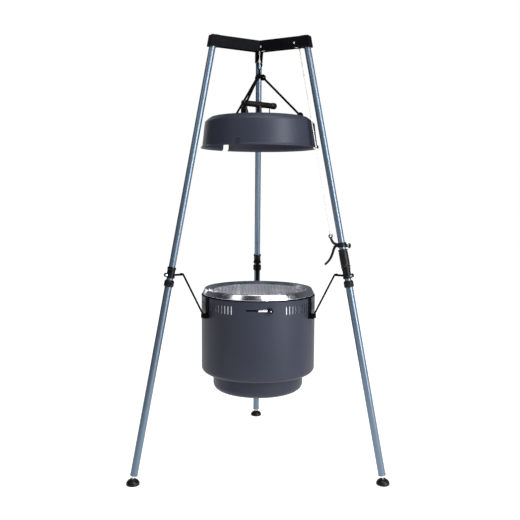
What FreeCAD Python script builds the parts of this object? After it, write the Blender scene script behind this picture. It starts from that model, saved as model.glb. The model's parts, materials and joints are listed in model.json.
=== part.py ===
# Hanging charcoal grill on a telescopic tripod, in millimetres.
# +Z is up and the origin is on the ground, under the point where the three legs' axes meet.
# The legs stand at 90 (rear), 210 (left) and 330 degrees (right) about +Z.
import FreeCAD, Part
import Sketcher
import math
import os
from types import SimpleNamespace

V = FreeCAD.Vector
X_AXIS, Y_AXIS, Z_AXIS = V(1, 0, 0), V(0, 1, 0), V(0, 0, 1)

DIMENSIONS = {
    "tripod": dict(
        foot_circle=428.2, leg_tilt=11.665, upper_tube=10.0, lower_tube=11.0, tube_wall=0.91, upper_start=190,
        upper_end=1337.6, lower_start=27.6, lower_end=604, running_gap=0.08),
    "head": dict(
        head_top=1320, arm_reach=144.5, arm_width=24, arm_height=32, steel=2, socket_proud=0.6, socket_wall=2.8,
        tongue_length=5, tongue_height=10, axle_radius=2.2, axle_head=2.9, axle_head_height=1.2),
    "pulleys": dict(
        pulley_height=1301, pulley_radius=12, groove_radius=9.3, cord_wrap=10.75, pulley_width=8, arm_axle=125,
        cord_radius=1.3, guide_length=9, guide_height=2, guide_hole=2.2),
    "leg_fittings": dict(
        nut_start=592, nut_length=19.6, nut_radius=14.5, collar_start=617.8, collar_length=32.6, collar_waist=12.6,
        collar_ring=13.6, collar_ring_height=7, lug_reach=19, grip_start=651, grip_length=54.5, grip_radius=13.5,
        screw_radius=1.6, screw_head=2.8, screw_reach=15.6),
    "feet": dict(
        pad_radius=20, pad_edge=5, pad_top_radius=9.5, pad_height=18, ball_height=12, ball_radius=6.5, neck_radius=3,
        stud_nut=7, stud_nut_start=22.25, plug_length=24),
    "hanging": dict(
        bail_height=613, bail_reach=266, bail_half_width=10, bail_wire=2, bar_width=12, bar_sheet=2.2, rod_pivot_reach=193,
        rod_pivot_height=482, bar_eye=5.2, pivot_pin=3.2, hook_play=0.3, hook_tip_angle=25),
    "drum": dict(
        drum_radius=180, drum_wall=1.5, drum_rim=537, ledge_height=292, ledge_round=15, step_radius=143,
        drum_bottom=234, step_round=20, vent_width=4, vent_height=26, vent_bottom=496, vent_pitch=3.7,
        strap_width=17, strap_sheet=2.35, strap_bottom=474, strap_inner_end=531, ear_reach=198.4, ear_sheet=2,
        slot_start=257.5, slot_angle=25.5, slot_height=4.6, slot_bottom=509.5),
    "damper": dict(
        ring_radius=178.2, ring_wall=1.2, ring_bottom=488, ring_top=530, knob_azimuth=280.4, knob_radius=8,
        knob_length=10, knob_shank=2),
    "bowl": dict(
        bowl_radius=140, bowl_sheet=1.2, bowl_bottom=395, bowl_round=15, bowl_ledge=545, ledge_outer=147,
        bowl_rim=557.6, bowl_rim_radius=166.6, collar_edge=540.3, collar_radius=177, air_hole=8, air_hole_circle=80,
        grate_radius=144, grate_height=4, strand=2.4, strand_pitch=11, fire_grate_radius=135, fire_grate_level=404),
    "lid": dict(
        lip_radius=182, lip_height=994, lid_top=1088, lid_shoulder=19, shoulder_radius=150, lid_sheet=1.5,
        lid_turn=8, notch_width=22, notch_height=22, vent_hole=7, vent_circle=26, vent_disc=38, vent_sheet=1.6,
        post_radius=8, grip_bar=10, grip_bar_length=130, grip_bar_height=1129, grip_bar_azimuth=37, guard_azimuth=-13,
        guard_width=26, lid_eye_reach=130, lid_eye_height=1099, rod_wire=3, rod_eye=6.6),
    "hoist": dict(
        ring_reach=11, ring_height=1212, ring_wire=2.6, ring_eye=6.3, hub_height=1224, hook_wire=2, hook_top=1253,
        hook_bottom=1229, hook_half_width=9.2, slider_height=704, slider_length=13, slider_radius=14,
        cleat_wire=2.8, knob_disc=7.5, knob_disc_length=8, knob_start=18.4, screw_shank=2.45),
}


class Size:
    """A length or angle: its value, and the spreadsheet expression that gives it."""

    def __init__(self, value, text=None):
        self.value = float(value)
        self.text = repr(float(value)) if text is None else text

    @staticmethod
    def of(other):
        return other if isinstance(other, Size) else Size(other)

    def _with(self, other, sign, value):
        return Size(value, f"({self.text} {sign} {other.text})")

    def __add__(self, other):
        other = Size.of(other)
        return self._with(other, "+", self.value + other.value)

    def __sub__(self, other):
        other = Size.of(other)
        return self._with(other, "-", self.value - other.value)

    def __mul__(self, other):
        other = Size.of(other)
        return self._with(other, "*", self.value * other.value)

    def __truediv__(self, other):
        other = Size.of(other)
        return self._with(other, "/", self.value / other.value)

    def __radd__(self, other):
        return Size.of(other) + self

    def __rsub__(self, other):
        return Size.of(other) - self

    def __rmul__(self, other):
        return Size.of(other) * self

    def __neg__(self):
        return 0 - self

    def root(self):
        return Size(math.sqrt(self.value), f"sqrt({self.text})")


doc = FreeCAD.newDocument("TripodGrill")
sheet = doc.addObject("Spreadsheet::Sheet", "Dimensions")
d = SimpleNamespace()
row = 1
for group, cells in DIMENSIONS.items():
    sheet.set(f"A{row}", group)
    row += 1
    for alias, value in cells.items():
        sheet.set(f"A{row}", alias.replace("_", " "))
        sheet.set(f"B{row}", str(value))
        sheet.setAlias(f"B{row}", alias)
        setattr(d, alias, Size(value, f"Dimensions.{alias}"))
        row += 1
doc.recompute()

LEGS = {"rear": 90, "left": 210, "right": 330}
parts = []


# ---------------------------------------------------------------- helpers

def bind(thing, **sizes):
    """Sets properties, and binds each to the spreadsheet expression of its size."""
    for name, size in sizes.items():
        size = Size.of(size)
        setattr(thing, name, size.value)
        thing.setExpression(name, size.text)
    return thing


def primitive(kind, place=None, **sizes):
    thing = doc.addObject(f"Part::{kind}", kind)
    bind(thing, **sizes)
    if place is not None:
        thing.Placement = place
    return thing


def join(shapes):
    thing = doc.addObject("Part::MultiFuse", "Fusion")
    thing.Shapes = shapes
    return thing


def cut(base, tool):
    thing = doc.addObject("Part::Cut", "Cut")
    thing.Base, thing.Tool = base, tool
    return thing


def group(shapes):
    thing = doc.addObject("Part::Compound", "Group")
    thing.Links = shapes
    return thing


def made(shape):
    """A solid that Part's own functions make, as an object of the document."""
    thing = doc.addObject("Part::Feature", "Wirework")
    thing.Shape = shape
    return thing


def finished(label, thing, place=None):
    """Names a sub-part, puts it in its place and lists it for export."""
    thing.Label = label
    if place is not None:
        thing.Placement = place
    parts.append(thing)
    return thing


def around(azimuth):
    """The frame of an arm: +X points outwards at this azimuth."""
    return FreeCAD.Placement(V(0, 0, 0), FreeCAD.Rotation(Z_AXIS, azimuth))


def shift(x, y, z):
    return FreeCAD.Placement(V(x, y, z), FreeCAD.Rotation())


def turned(axis, angle, at=None):
    return FreeCAD.Placement(at or V(0, 0, 0), FreeCAD.Rotation(axis, angle))


LEG_IN_ARM = turned(Y_AXIS, -d.leg_tilt.value, V(d.foot_circle.value, 0, 0))
TILT = math.radians(d.leg_tilt.value)


def on_leg(azimuth, along=0):
    """The frame of a leg: +Z runs up its axis, from this distance along it."""
    return around(azimuth) * LEG_IN_ARM * shift(0, 0, along)


def leg_reach(height):
    """Distance of a leg's axis from the tripod's axis at this height."""
    return d.foot_circle.value - height * math.tan(TILT)


def arc_through(start, end, radius):
    """The arc from start to end that bulges to the right of the way there, or to the left if radius is negative."""
    chord = end - start
    side = V(-chord.y, chord.x, 0).normalize() * (1 if radius > 0 else -1)
    centre = (start + end) * 0.5 + side * math.sqrt(radius ** 2 - (chord.Length / 2) ** 2)
    first = math.atan2(start.y - centre.y, start.x - centre.x)
    last = math.atan2(end.y - centre.y, end.x - centre.x)
    if radius < 0:
        first, last = last, first
    return Part.ArcOfCircle(Part.Circle(centre, Z_AXIS, abs(radius)), first, last)


def outline_body(label, outline, plane="XZ_Plane"):
    """A body with a closed sketch. Each corner is (x, y), or (x, y, radius) where an arc arrives at it."""
    body = doc.addObject("PartDesign::Body", "Body")
    sketch = body.newObject("Sketcher::SketchObject", "Outline")
    origin_plane = [f for f in body.Origin.OriginFeatures if f.Role == plane][0]
    sketch.AttachmentSupport = (origin_plane, [""])
    sketch.MapMode = "FlatFace"
    corners = [[Size.of(number) for number in corner] for corner in outline]
    count = len(corners)
    ends = []
    for index in range(count):
        here, there = corners[index], corners[(index + 1) % count]
        start, end = V(here[0].value, here[1].value, 0), V(there[0].value, there[1].value, 0)
        if len(there) == 3:
            edge = sketch.addGeometry(arc_through(start, end, there[2].value), False)
            ends.append((edge, 1, 2) if there[2].value > 0 else (edge, 2, 1))
            bend = there[2] if there[2].value > 0 else -there[2]
            held = sketch.addConstraint(Sketcher.Constraint("Radius", edge, bend.value))
            sketch.setExpression(f"Constraints[{held}]", bend.text)
        else:
            ends.append((sketch.addGeometry(Part.LineSegment(start, end), False), 1, 2))
    for index in range(count):
        before, edge = ends[index - 1], ends[index]
        sketch.addConstraint(Sketcher.Constraint("Coincident", before[0], before[2], edge[0], edge[1]))
        for kind, axis, size in (("DistanceX", -2, corners[index][0]), ("DistanceY", -1, corners[index][1])):
            if size.value == 0:
                sketch.addConstraint(Sketcher.Constraint("PointOnObject", edge[0], edge[1], axis))
                continue
            held = sketch.addConstraint(Sketcher.Constraint(kind, -1, 1, edge[0], edge[1], size.value))
            sketch.setExpression(f"Constraints[{held}]", size.text)
    body.Label = label + "_body"
    return body, sketch


def revolved(label, outline):
    """A turned solid: the outline holds (radius, height) corners."""
    body, sketch = outline_body(label, outline)
    turn = body.newObject("PartDesign::Revolution", "Revolution")
    turn.Profile = sketch
    turn.ReferenceAxis = (sketch, ["V_Axis"])
    turn.Angle = 360
    sketch.Visibility = False
    return body


def padded(label, outline, thickness):
    """A plate of this thickness, centred on the plane of its outline."""
    body, sketch = outline_body(label, outline)
    pad = body.newObject("PartDesign::Pad", "Pad")
    pad.Profile = sketch
    pad.SideType = "Symmetric"
    bind(pad, Length=thickness)
    return body


def box(x, y, z, low, place=None):
    """A box of these sides whose lowest corner is at low, in the frame that place gives."""
    place = place or FreeCAD.Placement()
    corner = [Size.of(number).value for number in low]
    return primitive("Box", place * shift(*corner), Length=x, Width=y, Height=z)


def rod(radius, length, place):
    return primitive("Cylinder", place, Radius=radius, Height=length)


def bent_path(points, bend):
    """Straight runs joined by tangent arcs of one radius."""
    edges, start = [], points[0]
    for before, corner, after in zip(points, points[1:], points[2:]):
        back, on = (before - corner).normalize(), (after - corner).normalize()
        half = back.getAngle(on) / 2
        reach = bend / math.tan(half)
        first, last = corner + back * reach, corner + on * reach
        middle = corner + (back + on).normalize() * (bend / math.sin(half) - bend)
        if (first - start).Length > 0.001:
            edges.append(Part.LineSegment(start, first).toShape())
        edges.append(Part.Arc(first, middle, last).toShape())
        start = last
    if (points[-1] - start).Length > 0.001:
        edges.append(Part.LineSegment(start, points[-1]).toShape())
    return Part.Wire(edges)


def round_wire(path, radius):
    """A round wire along a path."""
    first = path.Edges[0]
    start, way = first.valueAt(first.FirstParameter), first.tangentAt(first.FirstParameter)
    profile = Part.Wire(Part.Circle(start, way, radius).toShape())
    return path.makePipeShell([profile], True, False)


def wire_eye(centre, eye, wire):
    """A closed eye in the arm's upright plane."""
    return Part.makeTorus(eye, wire, centre, Y_AXIS)


# ---------------------------------------------------------------- tripod head

def head_bracket():
    """Three inverted channels that meet at the tripod's axis."""
    underside = d.head_top - d.arm_height
    inner_width = d.arm_width - 2 * d.steel
    outer, inner = [], []
    for azimuth in LEGS.values():
        place = around(azimuth)
        outer.append(box(d.arm_reach, d.arm_width, d.arm_height, (0, -d.arm_width / 2, underside), place))
        hollow_corner = (0, -inner_width / 2, underside - d.steel)
        inner.append(box(d.arm_reach + 2, inner_width, d.arm_height, hollow_corner, place))
    hub = rod(d.arm_width / 2 + 1.5, d.arm_height, shift(0, 0, underside.value))
    hollow = rod(d.arm_width / 2 - 0.5, d.arm_height, shift(0, 0, (underside - d.steel).value))
    channel = cut(join(outer + [hub]), join(inner + [hollow]))
    holes = [rod(d.axle_radius + 0.02, d.arm_width + 20, axle_frame(reach, d.arm_width.value / 2 + 10))
             for reach in (d.cord_wrap, d.arm_axle)]
    return finished("head_bracket", cut(channel, join(holes)))


def axle_frame(reach, start):
    """The frame of a pulley axle across the right arm: its +Z runs along the axle."""
    at = V(Size.of(reach).value, start, d.pulley_height.value)
    return around(LEGS["right"]) * turned(X_AXIS, 90, at)


def leg_sockets():
    """A cast block at the end of each arm that the leg tube plugs into."""
    low, high = d.head_top - d.arm_height - 2 * d.socket_proud, d.head_top + d.socket_proud
    wall = d.upper_tube.value / math.cos(TILT) + d.socket_wall.value
    tongue_low = d.head_top - d.steel - d.tongue_height
    outline = [
        (d.arm_reach, low), (leg_reach(low.value) + wall, low), (leg_reach(high.value) + wall, high),
        (d.arm_reach, high), (d.arm_reach, d.head_top - d.steel),
        (d.arm_reach - d.tongue_length, d.head_top - d.steel), (d.arm_reach - d.tongue_length, tongue_low),
        (d.arm_reach, tongue_low)]
    tongue_gap = d.arm_width / 2 - d.steel
    for name, azimuth in LEGS.items():
        block = padded(f"leg_socket_{name}", outline, d.arm_width + 2 * d.socket_proud)
        cheeks = join([
            box(d.tongue_length, 8, d.tongue_height + 2, (d.arm_reach - d.tongue_length, side, tongue_low - 1))
            for side in (tongue_gap, -tongue_gap - 8)])
        bore = rod(d.upper_tube + 0.05, d.upper_end - 1200, LEG_IN_ARM * shift(0, 0, 1200.3))
        finished(f"leg_socket_{name}", cut(cut(block, cheeks), bore), around(azimuth))


def pulleys():
    """Two grooved sheaves on riveted axles, and the bush through which the cord leaves the arm."""
    half, head = d.arm_width / 2, d.axle_head_height
    shank = [(0, 0), (d.axle_head, 0), (d.axle_head, head), (d.axle_radius, head),
             (d.axle_radius, head + d.arm_width), (d.axle_head, head + d.arm_width),
             (d.axle_head, 2 * head + d.arm_width), (0, 2 * head + d.arm_width)]
    axles = []
    bore, rim = d.axle_radius + 0.05, d.pulley_radius
    groove = [(bore, 0), (rim, 0), (rim, 1.8), (d.groove_radius, 2.6), (d.groove_radius, d.pulley_width - 2.6),
              (rim, d.pulley_width - 1.8), (rim, d.pulley_width), (bore, d.pulley_width)]
    for name, reach in (("center", d.cord_wrap), ("arm", d.arm_axle)):
        axle = revolved(f"{name}_axle", shank)
        axle.Placement = axle_frame(reach, (half + head).value)
        axles.append(axle)
        finished(f"{name}_pulley", revolved(f"{name}_pulley", groove), axle_frame(reach, d.pulley_width.value / 2))
    finished("pulley_axles", group(axles))
    exit_reach = d.arm_axle + d.cord_wrap
    inner = d.arm_width - 2 * d.steel
    underside = d.head_top - d.arm_height
    plate = box(d.guide_length, inner, d.guide_height, (exit_reach - d.guide_length / 2, -inner / 2, underside))
    hole = rod(d.guide_hole, 10, shift(exit_reach.value, 0, (underside - 2).value))
    finished("cord_guide", cut(plate, hole), around(LEGS["right"]))


# ---------------------------------------------------------------- legs

def tube(label, inner, outer, start, end):
    return revolved(label, [(inner, start), (outer, start), (outer, end), (inner, end)])


def leg_tubes():
    bore = d.lower_tube - d.tube_wall
    for name, azimuth in LEGS.items():
        upper = tube(f"upper_leg_{name}", d.upper_tube - 1, d.upper_tube, d.upper_start, d.upper_end)
        finished(f"upper_leg_{name}", upper, on_leg(azimuth))
        lower = tube(f"lower_leg_{name}", bore, d.lower_tube, d.lower_start, d.lower_end)
        finished(f"lower_leg_{name}", lower, on_leg(azimuth))


def lock_nuts():
    """Twist-lock nuts: each turns on the top of a lower tube and grips the upper tube with its lip."""
    body, lip = d.lower_tube + d.running_gap, d.lower_tube - d.tube_wall
    step = d.lower_end - d.nut_start + 0.5
    outline = [(body, 0), (d.nut_radius - 1, 0), (d.nut_radius, 1.5), (d.nut_radius, d.nut_length - 4),
               (d.nut_radius - 2.5, d.nut_length), (lip, d.nut_length), (lip, step), (body, step)]
    for name, azimuth in LEGS.items():
        nut = revolved(f"lock_nut_{name}", outline)
        finished(f"lock_nut_{name}", nut, on_leg(azimuth, d.nut_start.value))


def hanger_collars():
    """Collars clamped on the upper tubes, each with a wire bail that points to the axis."""
    bore, length, ring = d.upper_tube + 0.05, d.collar_length, d.collar_ring_height
    outline = [(bore, 0), (d.collar_ring, 0), (d.collar_ring, ring), (d.collar_waist, ring + 1.5),
               (d.collar_waist, length - ring), (d.collar_ring - 1, length - ring + 1), (d.collar_ring - 1, length),
               (bore, length)]
    screw = [(0, 0), (d.screw_head, 0), (d.screw_head, 2.5), (d.screw_radius, 2.5), (d.screw_radius, 14.5),
             (d.screw_head, 14.5), (d.screw_head, 17), (0, 17)]
    screws = []
    for name, azimuth in LEGS.items():
        ring_body = revolved(f"hanger_collar_{name}", outline)
        lug = box(d.lug_reach - d.collar_waist, 12, 12, (d.collar_waist - 0.3, -6, 1))
        hole = rod(d.screw_radius + 0.02, 30, turned(X_AXIS, 90, V(d.screw_reach.value, 15, 7)))
        collar = cut(join([ring_body, lug]), hole)
        place = on_leg(azimuth, d.collar_start.value)
        finished(f"hanger_collar_{name}", collar, place)
        one = revolved(f"collar_screw_{name}", screw)
        one.Placement = place * turned(X_AXIS, 90, V(d.screw_reach.value, 8.5, 7))
        screws.append(one)
        finished(f"hanger_bail_{name}", made(bail_shape()), around(azimuth))
    finished("collar_screws", group(screws))


def bail_shape():
    height, half = d.bail_height.value, d.bail_half_width.value
    root = leg_reach(height) - 8
    ends = [V(root, -half, height), V(d.bail_reach.value, -half, height), V(d.bail_reach.value, half, height),
            V(root, half, height)]
    wire = round_wire(bent_path(ends, 4.5), d.bail_wire.value)
    tube_space = Part.makeCylinder(d.collar_waist.value + 0.02, 80)
    tube_space.Placement = LEG_IN_ARM * shift(0, 0, d.collar_start.value - 20)
    return wire.cut(tube_space)


def grip_sleeve():
    bore, lip = d.upper_tube + 0.05, d.grip_radius + 0.9
    outline = [(bore, 0), (lip, 0), (lip, 3), (d.grip_radius, 4.5), (d.grip_radius, d.grip_length - 4.5),
               (lip, d.grip_length - 3), (lip, d.grip_length), (bore, d.grip_length)]
    finished("grip_sleeve", revolved("grip_sleeve", outline), on_leg(LEGS["right"], d.grip_start.value))


def feet():
    """Swivel feet: a domed pad turns on the ball of a stud that is plugged into the tube."""
    ball_along = d.ball_height.value / math.cos(TILT)
    reach = leg_reach(d.ball_height.value)
    dome = [(0, 0), (d.pad_radius - 1, 0), (d.pad_radius, 1), (d.pad_radius, d.pad_edge),
            (d.pad_top_radius, d.pad_height, 17), (0, d.pad_height)]
    for name, azimuth in LEGS.items():
        stud = join([
            primitive("Sphere", shift(0, 0, ball_along), Radius=d.ball_radius),
            rod(d.neck_radius, d.stud_nut_start - ball_along + 1, shift(0, 0, ball_along)),
            primitive("Prism", shift(0, 0, d.stud_nut_start.value), Circumradius=d.stud_nut,
                      Height=d.lower_start - d.stud_nut_start),
            rod(d.lower_tube - d.tube_wall - 0.04, d.plug_length, shift(0, 0, d.lower_start.value - 0.01))])
        finished(f"foot_stud_{name}", stud, on_leg(azimuth))
        socket = join([
            primitive("Sphere", shift(0, 0, d.ball_height.value), Radius=d.ball_radius + 0.1),
            primitive("Cone", shift(0, 0, d.ball_height.value + 3.9), Radius1=5.15, Radius2=6.5, Height=2.3)])
        pad = cut(revolved(f"foot_pad_{name}", dome), socket)
        finished(f"foot_pad_{name}", pad, around(azimuth) * shift(reach, 0, 0))


# ---------------------------------------------------------------- drum and its hangers

def vent_tools(turn=0.0):
    """The vent slots: two clusters of four on each side of the front, repeated between the other straps."""
    slots = []
    reach = d.drum_radius.value - 8
    for front in (270, 30, 150):
        for side in (-1, 1):
            for first in (27.3, 42.9):
                for index in range(4):
                    azimuth = front + turn + side * (first + index * d.vent_pitch.value)
                    place = around(azimuth)
                    corner = (reach, -d.vent_width / 2, d.vent_bottom)
                    slots.append(box(16, d.vent_width, d.vent_height, corner, place))
    return join(slots)


def drum():
    wall, radius, step = d.drum_wall, d.drum_radius, d.step_radius
    ledge, floor, big, small = d.ledge_height, d.drum_bottom, d.step_round, d.ledge_round
    outline = [
        (0, floor), (step - big, floor), (step, floor + big, big), (step, ledge), (radius - small, ledge),
        (radius, ledge + small, small), (radius, d.drum_rim), (radius - wall, d.drum_rim),
        (radius - wall, ledge + small), (radius - small, ledge + wall, -(small - wall)), (step - wall, ledge + wall),
        (step - wall, floor + big), (step - big, floor + wall, -(big - wall)), (0, floor + wall)]
    guide = primitive("Cylinder", around(d.slot_start.value) * shift(0, 0, d.slot_bottom.value),
                      Radius=radius + 4, Height=d.slot_height, Angle=d.slot_angle)
    finished("drum_shell", cut(cut(revolved("drum_shell", outline), vent_tools()), guide))
    ring_inner = d.ring_radius - d.ring_wall
    ring = revolved("air_ring", [(ring_inner, d.ring_bottom), (d.ring_radius, d.ring_bottom),
                                 (d.ring_radius, d.ring_top), (ring_inner, d.ring_top)])
    finished("air_ring", cut(ring, vent_tools(d.vent_pitch.value / 2)))
    knob_start = d.drum_radius.value + 3
    shank = knob_start - d.ring_radius.value + 0.6
    knob = revolved("air_knob", [
        (0, 0), (d.knob_shank, 0), (d.knob_shank, shank), (d.knob_radius, shank), (d.knob_radius, shank + 7),
        (d.knob_radius - 3, shank + d.knob_length, 3.2), (0, shank + d.knob_length)])
    middle = d.slot_bottom + d.slot_height / 2
    out = turned(Y_AXIS, 90, V(knob_start - shank, 0, middle.value))
    finished("air_knob", knob, around(d.knob_azimuth.value) * out)


def rim_straps():
    """A strap hooked over the rim at each leg, with two ears and a pin that a hanging rod turns on."""
    back, sheet_, rim = d.drum_radius + 0.05, d.strap_sheet, d.drum_rim + 0.05
    inside = d.drum_radius - d.drum_wall - 0.25
    outline = [
        (back, d.strap_bottom), (back + sheet_, d.strap_bottom), (back + sheet_, rim + sheet_),
        (inside - sheet_, rim + sheet_), (inside - sheet_, d.strap_inner_end), (inside, d.strap_inner_end),
        (inside, rim), (back, rim)]
    ear_inner, half = d.bar_width / 2 + 0.4, 7
    pin_length = 2 * (ear_inner + d.ear_sheet) + 1
    pin = [(0, 0), (d.pivot_pin + 1.4, 0), (d.pivot_pin + 1.4, 1.4), (d.pivot_pin, 1.4),
           (d.pivot_pin, 1.4 + pin_length), (d.pivot_pin + 1.4, 1.4 + pin_length),
           (d.pivot_pin + 1.4, 2.8 + pin_length), (0, 2.8 + pin_length)]
    pins = []
    for name, azimuth in LEGS.items():
        ears = [box(d.ear_reach - back - sheet_ + 0.5, d.ear_sheet, 2 * half,
                    (back + sheet_ - 0.5, side, d.rod_pivot_height - half))
                for side in (ear_inner, -ear_inner - d.ear_sheet)]
        strap = join([padded(f"rim_strap_{name}", outline, d.strap_width)] + ears)
        pivot = V(d.rod_pivot_reach.value, 0, d.rod_pivot_height.value)
        hole = rod(d.pivot_pin + 0.02, 40, turned(X_AXIS, 90, pivot + V(0, 20, 0)))
        finished(f"rim_strap_{name}", cut(strap, hole), around(azimuth))
        one = revolved(f"hanger_pin_{name}", pin)
        middle = (pin_length.value + 2.8) / 2
        one.Placement = around(azimuth) * turned(X_AXIS, 90, pivot + V(0, middle, 0))
        pins.append(one)
        finished(f"hanging_rod_{name}", made(rod_shape()), around(azimuth))
    finished("hanger_pins", group(pins))


def rod_shape():
    """A flat bar: its eye turns on the strap's pin, and its open hook, with the mouth outwards, sits on the bail."""
    half_sheet, edge, play = d.bar_sheet.value / 2, -d.bar_width.value / 2, d.hook_play.value
    pivot = V(d.rod_pivot_reach.value, edge, d.rod_pivot_height.value)
    rest = V(d.bail_reach.value, edge, d.bail_height.value)
    hook = d.bail_wire.value + 1.5 + half_sheet
    pull = (rest - pivot).normalize()
    centre = rest - pull * (hook - half_sheet - d.bail_wire.value - play)
    line = centre - pivot
    rise = math.atan2(line.z, line.x) + math.asin(hook / line.Length)
    begin, tip = rise + math.pi / 2, math.radians(d.hook_tip_angle.value)

    def at(angle, reach):
        return centre + V(math.cos(angle), 0, math.sin(angle)) * reach

    along = V(math.cos(rise), 0, math.sin(rise))
    foot = pivot + along * (d.bar_eye.value - 1)
    outer, inner, middle = hook + half_sheet, hook - half_sheet, (begin + tip) / 2
    side = at(begin, 1) - centre
    edges = [Part.LineSegment(foot + side * half_sheet, at(begin, outer)).toShape(),
             Part.Arc(at(begin, outer), at(middle, outer), at(tip, outer)).toShape(),
             Part.LineSegment(at(tip, outer), at(tip, inner)).toShape(),
             Part.Arc(at(tip, inner), at(middle, inner), at(begin, inner)).toShape(),
             Part.LineSegment(at(begin, inner), foot - side * half_sheet).toShape(),
             Part.LineSegment(foot - side * half_sheet, foot + side * half_sheet).toShape()]
    across = V(0, d.bar_width.value, 0)
    bar = Part.Face(Part.Wire(edges)).extrude(across)
    barrel = Part.makeCylinder(d.bar_eye.value + half_sheet, d.bar_width.value, pivot, Y_AXIS)
    hole = Part.makeCylinder(d.bar_eye.value - half_sheet, d.bar_width.value, pivot, Y_AXIS)
    return bar.fuse(barrel).cut(hole).removeSplitter()


# ---------------------------------------------------------------- bowl and grates

def inner_bowl():
    t, radius, bottom, bend = d.bowl_sheet, d.bowl_radius, d.bowl_bottom, d.bowl_round
    outline = [
        (d.collar_radius, d.collar_edge), (d.bowl_rim_radius + 2, d.bowl_rim), (d.bowl_rim_radius, d.bowl_rim),
        (d.ledge_outer, d.bowl_ledge), (radius, d.bowl_ledge), (radius, bottom + bend),
        (radius - bend, bottom, -bend), (0, bottom), (0, bottom - t), (radius - bend, bottom - t),
        (radius + t, bottom + bend, bend + t), (radius + t, d.bowl_ledge - t), (d.ledge_outer + 0.4, d.bowl_ledge - t),
        (d.bowl_rim_radius + 0.3, d.bowl_rim - 1.4), (d.bowl_rim_radius + 1.4, d.bowl_rim - 1.4),
        (d.collar_radius - 1.3, d.collar_edge)]
    holes = join([
        rod(d.air_hole, 10, around(45 * index) * shift(d.air_hole_circle.value, 0, bottom.value - 5))
        for index in range(8)])
    finished("inner_bowl", cut(revolved("inner_bowl", outline), holes))
    slope = math.degrees(math.atan2((d.bowl_rim - d.bowl_ledge).value, (d.bowl_rim_radius - d.ledge_outer).value))
    middle = V((d.bowl_rim_radius + d.ledge_outer).value / 2, 0, (d.bowl_rim + d.bowl_ledge).value / 2)
    clips = [box(16, 14, 2.5, (-8, -7, 0.3), around(azimuth) * turned(Y_AXIS, -slope, middle))
             for azimuth in (200, 340)]
    finished("bowl_clips", group(clips))


def grate(label, radius, level, pitch):
    """A round grate: parallel bars across a square-section ring, and two bars under them."""
    inner = radius - 4
    ring = revolved(label, [(inner, level), (radius, level), (radius, level + d.grate_height),
                            (inner, level + d.grate_height)])
    bars = []
    count = int(inner.value // pitch.value)
    for index in range(-count, count + 1):
        across = index * pitch
        half = (inner * inner - across * across).root() + 1
        bars.append(box(2 * half, d.strand, 2.4, (-half, across - d.strand / 2, level + 1.6)))
    for side in (-0.45, 0.45):
        across = side * radius
        half = (inner * inner - across * across).root() + 1
        bars.append(box(d.strand, 2 * half, 2.4, (across - d.strand / 2, -half, level)))
    finished(label, join([ring] + bars))


# ---------------------------------------------------------------- lid

def lid():
    t, top, lip, low = d.lid_sheet, d.lid_top, d.lip_radius, d.lip_height
    bend, inner = d.lid_shoulder, d.shoulder_radius
    outline = [
        (0, top), (0, top - t), (inner, top - t), (lip - 14.6, top - 17.4, -(bend - t)), (lip - 6.8, low + 5.8),
        (lip - 1.8, low + 2.6), (lip - 1.8, low), (lip, low), (lip, low + 3.5), (lip - 5.4, low + 7),
        (lip - 13.1, top - 17.2), (inner, top, bend)]
    outline = outline[::-1]
    tools = []
    for index in range(3):
        place = around(d.lid_turn.value + 120 * index)
        corner = (d.lip_radius - 20, -d.notch_width / 2, low - 4)
        tools.append(box(40, d.notch_width, d.notch_height + 4, corner, place))
        tools.append(rod(d.vent_hole, 10, around(vent_azimuth(index)) * shift(d.vent_circle.value, 0, top.value - 6)))
    shell = cut(revolved_clockwise("lid_shell", outline), join(tools))
    lugs = []
    for index in range(3):
        place = around(d.lid_turn.value + 120 * index)
        for side in (3.2, -5.2):
            lugs.append(box(13, 2, 17, (d.lid_eye_reach - 6.5, side, top - 0.6), place))
        lugs.append(rod(2.2, 9, place * turned(X_AXIS, 90, V(d.lid_eye_reach.value, 4.5, d.lid_eye_height.value))))
    finished("lid_shell", join([shell] + lugs))
    disc = revolved("lid_vent", [
        (d.post_radius + 0.05, top + 0.3), (d.vent_disc, top + 0.3), (d.vent_disc, top + 0.3 + d.vent_sheet),
        (d.post_radius + 0.05, top + 0.3 + d.vent_sheet)])
    tab = box(10, 3, 9, (26, -1.5, top + 1), around(262))
    holes = join([rod(d.vent_hole, 10, around(vent_azimuth(index)) * shift(d.vent_circle.value, 0, top.value - 3))
                  for index in range(3)])
    finished("lid_vent", cut(join([disc, tab]), holes))


def vent_azimuth(index):
    return 20 + 120 * index


def revolved_clockwise(label, outline):
    """A turned solid whose outline runs the other way round: each arc belongs to the corner it starts from."""
    count = len(outline)
    corners = []
    for index in range(count):
        bend = outline[index - 1][2:]
        corners.append(tuple(outline[index][:2]) + tuple(-Size.of(size) for size in bend))
    return revolved(label, corners)


def lid_handle():
    top, post = d.lid_top, d.post_radius
    above = top + 0.3 + d.vent_sheet + 0.3
    outline = [(0, top + 0.02), (post, top + 0.02), (post, above), (post + 5, above), (post + 5, above + 2),
               (post, above + 4), (post, d.grip_bar_height - 4), (0, d.grip_bar_height - 4)]
    finished("handle_post", revolved("handle_post", outline))
    length, radius = d.grip_bar_length, d.grip_bar
    bar = revolved("handle_grip", [
        (0, 0), (radius - 4, 0), (radius, 4, 4), (radius, length - 4), (radius - 4, length, 4), (0, length)])
    middle = V(-length.value / 2, 0, d.grip_bar_height.value)
    bar.Placement = around(d.grip_bar_azimuth.value) * turned(Y_AXIS, 90, middle)
    space = rod(post + 0.03, 40, shift(0, 0, d.grip_bar_height.value - 43.97))
    finished("handle_grip", cut(bar, space))


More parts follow.
